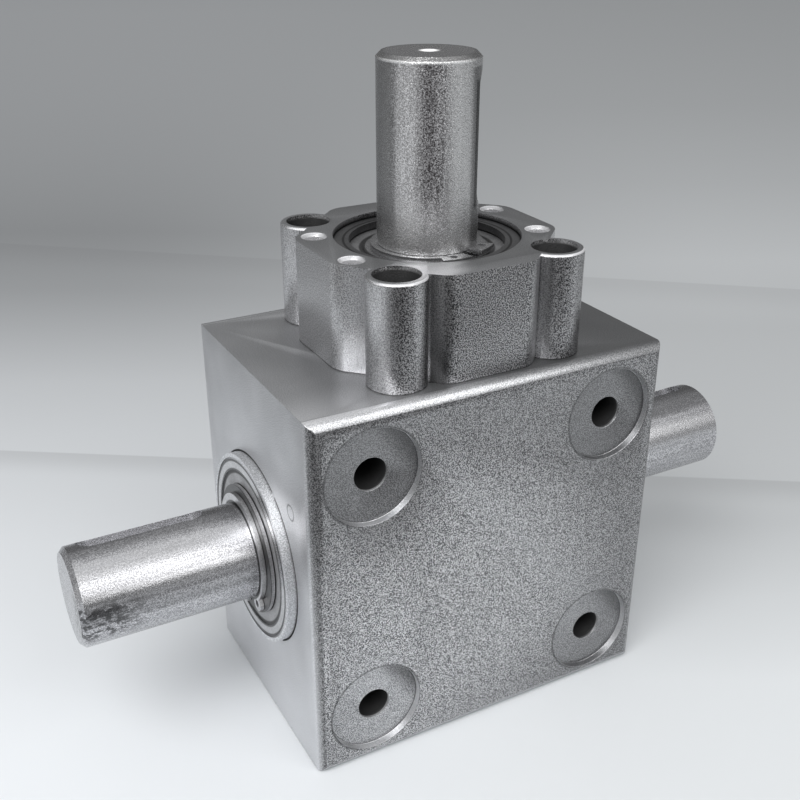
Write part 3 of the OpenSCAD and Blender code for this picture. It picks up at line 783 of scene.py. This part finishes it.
def round_corners(piece, width_mm, segments):
    only(piece)
    bpy.ops.object.mode_set(mode="EDIT")
    bpy.ops.mesh.select_mode(type="EDGE")
    bpy.ops.mesh.select_all(action="DESELECT")
    bpy.ops.object.mode_set(mode="OBJECT")
    points = piece.data.vertices
    for edge in piece.data.edges:
        one, two = (points[i].co for i in edge.vertices)
        edge.select = abs(one.z - two.z) > 15 * MM and on_corner(one) and on_corner(two)
    print("upright edges:", sum(edge.select for edge in piece.data.edges))
    bpy.ops.object.mode_set(mode="EDIT")
    bpy.ops.mesh.bevel(offset=width_mm * MM, segments=segments, affect="EDGES")
    bpy.ops.object.mode_set(mode="OBJECT")


soft_neck = merged_copy("neck")
round_corners(soft_neck, 2.4, 6)
soften(soft_neck, 0.4)
stand_for(soft_neck, "neck", "gear_case")

# %% [markdown]
# ## The ring on the upright shaft
# A retaining ring is punched from spring steel: a band that ends in two broad lugs with an eye in
# each, for the pliers. On the real one the right lug has sprung up a little and throws a shadow.
# An outline could be drawn point by point and filled. Here the band and each lug are a flat bar
# that is spun part of the way round the shaft, which keeps every round stretch round.


# %% A spun bar
def apply_place():
    bpy.ops.object.transform_apply(location=True, rotation=True, scale=True)


def spun_bar(inner, outer, low, high, start, sweep):
    """A flat bar between two radii and two heights, from an angle on by a sweep, in degrees."""
    bpy.ops.object.select_all(action="DESELECT")
    bpy.ops.mesh.primitive_plane_add(size=1, rotation=(math.pi / 2, 0, 0))
    bar = bpy.context.view_layer.objects.active
    apply_place()
    bar.scale = ((outer - inner) * MM, 1, (high - low) * MM)
    bar.location = ((inner + outer) / 2 * MM, 0, (low + high) / 2 * MM)
    apply_place()
    bar.rotation_euler.z = math.radians(start)
    apply_place()
    bpy.ops.object.mode_set(mode="EDIT")
    bpy.ops.mesh.select_all(action="SELECT")
    bpy.ops.mesh.delete(type="ONLY_FACE")
    bpy.ops.mesh.select_all(action="SELECT")
    bpy.ops.mesh.spin(steps=max(8, int(sweep / 3)), angle=math.radians(-sweep),
                      center=(0, 0, 0), axis=(0, 0, 1))
    bpy.ops.mesh.select_all(action="SELECT")
    bpy.ops.mesh.fill_holes(sides=4)
    bpy.ops.mesh.normals_make_consistent(inside=False)
    bpy.ops.object.mode_set(mode="OBJECT")
    middle = sum((Vector(v.co) for v in bar.data.vertices), Vector()) / len(bar.data.vertices)
    print("bar spun to", round(math.degrees(math.atan2(middle.y, middle.x)), 1), "degrees")
    return bar


# %% [markdown]
# ## The lugs and their eyes
# The three bars are united, the eyes are cut with a short rod each, and a fine bevel breaks the
# punched edges. The right lug lies 1.1 mm higher than the band and starts further out, clear of the
# shaft.


# %% The sprung ring
def combine(piece, other, operation):
    only(piece)
    step = piece.modifiers.new("step", "BOOLEAN")
    step.operation, step.object, step.solver = operation, other, "EXACT"
    bpy.ops.object.modifier_apply(modifier="step")
    only(other)
    bpy.ops.object.delete()


def cut_eye(piece, turn, out_mm, height):
    place = Vector((math.cos(math.radians(turn)), math.sin(math.radians(turn)), 0)) * out_mm * MM
    place.z = height * MM
    bpy.ops.object.select_all(action="DESELECT")
    bpy.ops.mesh.primitive_cylinder_add(vertices=24, radius=EYE_R * MM, depth=8 * MM, location=place)
    combine(piece, bpy.context.view_layer.objects.active, "DIFFERENCE")


BAND_IN, BAND_OUT, EYE_R = 11.95, 14.2, 0.95
LEFT_LUG_OUT, RIGHT_LUG_IN, RIGHT_LUG_OUT, SPRUNG_UP = 16.4, 12.4, 17.2, 1.1
seat_low, seat_high = (end.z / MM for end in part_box("output_ring"))
sprung_ring = spun_bar(BAND_IN, BAND_OUT, seat_low, seat_high, -62, 317)
sprung_ring.name = "output_ring_sprung"
left_lug = spun_bar(BAND_IN, LEFT_LUG_OUT, seat_low, seat_high, -106, 28)
combine(sprung_ring, left_lug, "UNION")
right_lug = spun_bar(RIGHT_LUG_IN, RIGHT_LUG_OUT, seat_high - 0.2, seat_high + SPRUNG_UP, -70, 22)
combine(sprung_ring, right_lug, "UNION")
cut_eye(sprung_ring, -93, 14.3, seat_high)
cut_eye(sprung_ring, -56, 14.8, seat_high)
soften(sprung_ring, 0.16, sharp_degrees=30)
stand_for(sprung_ring, "output_ring", "output_line")

# %% [markdown]
# ## Which piece gets which finish
# A material slot is filled on each piece. Parts of the same make share a finish, and most of them
# are told apart by the end of their name.


# %% Hand out the finishes
def wear(piece, material):
    piece.data.materials.clear()
    piece.data.materials.append(material)


wear(soft_box, housing_paint)
wear(soft_neck, neck_paint)
wear(sprung_ring, lug_steel)
finishes = {"left_sleeve": sleeve_paint, "right_sleeve": sleeve_paint, "through_shaft": through_steel,
            "output_shaft": output_steel, "bore_ring": bore_steel, "neck_screws": screw_steel,
            "spring_washers": screw_steel}
by_ending = {"_race": race_steel, "_balls": ball_steel, "_cage": cage_steel, "_seals": seal_film,
             "_ring": ring_steel, "_rings": ring_steel, "_shims": ring_steel, "_gear": gear_steel,
             "_key": gear_steel, "_spacer": gear_steel}
for name, node in nodes.items():
    endings = [steel for ending, steel in by_ending.items() if name.endswith(ending)]
    finish = finishes.get(name) or (endings[0] if endings else None)
    if finish:
        wear(node, finish)
    elif name not in ("housing", "neck"):
        print("no finish for", name)

# %% [markdown]
# ## The floor
# The gearbox stands on a pale sheet that was laid square to the view and rises behind, away from
# the light. A bent sheet could be modelled, but one plane is enough: its shade is painted on it, by
# the distance behind the object. Nearness is 1 close by and sinks towards 0 far behind, as heights in a
# photograph do. The left and the right half of the sheet have their own run of painted shades.

# %% Floor
bpy.ops.mesh.primitive_plane_add(size=12, location=(0, 0, -0.0002))
floor = bpy.context.view_layer.objects.active
floor.name = "floor"
sheet = Finish("floor_sheet", Roughness=0.7)
behind = sheet.x * -math.sin(AZIMUTH) + sheet.y * math.cos(AZIMUTH)
aside = sheet.x * math.cos(AZIMUTH) + sheet.y * math.sin(AZIMUTH)
nearness = 203 / (behind + 257).at_least(150)


def run_of_shades(stops, blue):
    tinted = [(place, (shade * 0.97, shade, shade * blue)) for place, shade in stops]
    return sheet.node("ShaderNodeValToRGB", {"stops": tinted}, {"Fac": nearness})


left_shade = run_of_shades(((0.10, 0.50), (0.20, 0.38), (0.30, 0.27), (0.36, 0.33), (0.46, 0.54),
                            (0.52, 0.61), (0.66, 0.73), (0.88, 0.81), (1.0, 0.81)), 1.03)
right_shade = run_of_shades(((0.10, 0.49), (0.18, 0.46), (0.25, 0.48), (0.33, 0.54), (0.40, 0.48),
                             (0.55, 0.51), (0.63, 0.51), (0.73, 0.62), (0.85, 0.71), (1.0, 0.71)), 1.02)
sheet.colour = sheet.mix((aside / (behind + 450)).rise(-0.25, 0.25), left_shade, right_shade)
print("floor", [round(v, 1) for v in floor.dimensions], "m")

# %% [markdown]
# ## Folds and dark corners
# The sheet has two faint folds, each painted as a band of shadow with a sharp front edge that fades
# behind. Two patches of painted shade, in front and far to the left, are there for the metal to
# mirror. The eye sees little of them, because Is Camera Ray takes most of their shade away.

# %% The sheet's marks
mirrored = 1 - sheet.node("ShaderNodeLightPath") * 0.9
dark_front = (-behind).rise(110, 200) * aside.band(-300, -120, 350, 600)
# Painted shade: a dark patch on the sheet in front, for the metal to mirror.
sheet.layer(dark_front * mirrored, (0.12, 0.12, 0.125))
for tilt, place, width, share in ((0.08, 105.6, 20, 0.22), (0.18, 347.5, 45, 0.14)):
    past = place - (behind + aside * tilt)
    # Painted shadow of each fold's edge.
    sheet.layer(past.rise(-0.6, 0.6) * past.fall(0, width) * share, (0.16, 0.16, 0.165))
far_left_shade = aside.fall(-550, -270) * behind.fall(100, 350)
# Painted shade: a dark patch far to the left, for the metal to mirror.
sheet.layer(far_left_shade * mirrored * 0.8, (0.2, 0.2, 0.205))
wear(floor, sheet.set())

# %% [markdown]
# ## The light
# A small tent lights the object from all round. A picture of a tent could be wrapped round the
# scene, but a sum on the direction does as well and needs no file. It gives the even part: brighter
# at the left and overhead, and a little darker towards the open front. A large soft lamp in front
# lifts the grain, and one high at the left draws the bright bands along the shafts.

# %% World and lamps
world = bpy.data.worlds.new("tent")
bpy.context.scene.world = world
world.use_nodes = True
tent = world.node_tree
glow = tent.nodes["Background"]
way = Wire.node(tent, "ShaderNodeTexCoord")
parts = Wire.node(tent, "ShaderNodeSeparateXYZ", sockets={0: way}).socket.node
wx, wy, wz = (Wire(parts.outputs[i]) for i in range(3))
ceiling = wz.rise(0.47, 0.75)
from_left = (-wx).rise(0.1, 0.95) * (1 - ceiling)
open_front = (wy * -math.cos(AZIMUTH) + wx * math.sin(AZIMUTH)).rise(0.2, 0.8) * wz.fall(0.3, 0.55)
level = 0.2 + ceiling * 0.5 + from_left * 0.26 - open_front * 0.1
tent.links.new(level.socket, glow.inputs["Strength"])
glow.inputs["Color"].default_value = (0.985, 0.992, 1.0, 1)


def lamp(name, place, size, power):
    light = bpy.data.lights.new(name, "AREA")
    light.shape, light.size, light.size_y = "RECTANGLE", size[0], size[1]
    light.energy = power
    holder = bpy.data.objects.new(name, light)
    holder.location = place
    holder.rotation_mode = "QUATERNION"
    holder.rotation_quaternion = (Vector((0, 0, 0.05)) - Vector(place)).to_track_quat("-Z", "Y")
    bpy.context.scene.collection.objects.link(holder)
    print(name, power, "watts")


lamp("key_panel", (0.3, -0.8, 0.72), (0.75, 0.8), 4.0)
lamp("left_panel", (-0.75, -0.55, 1.15), (0.9, 0.9), 13.0)
bpy.context.scene.view_settings.view_transform = "Standard"
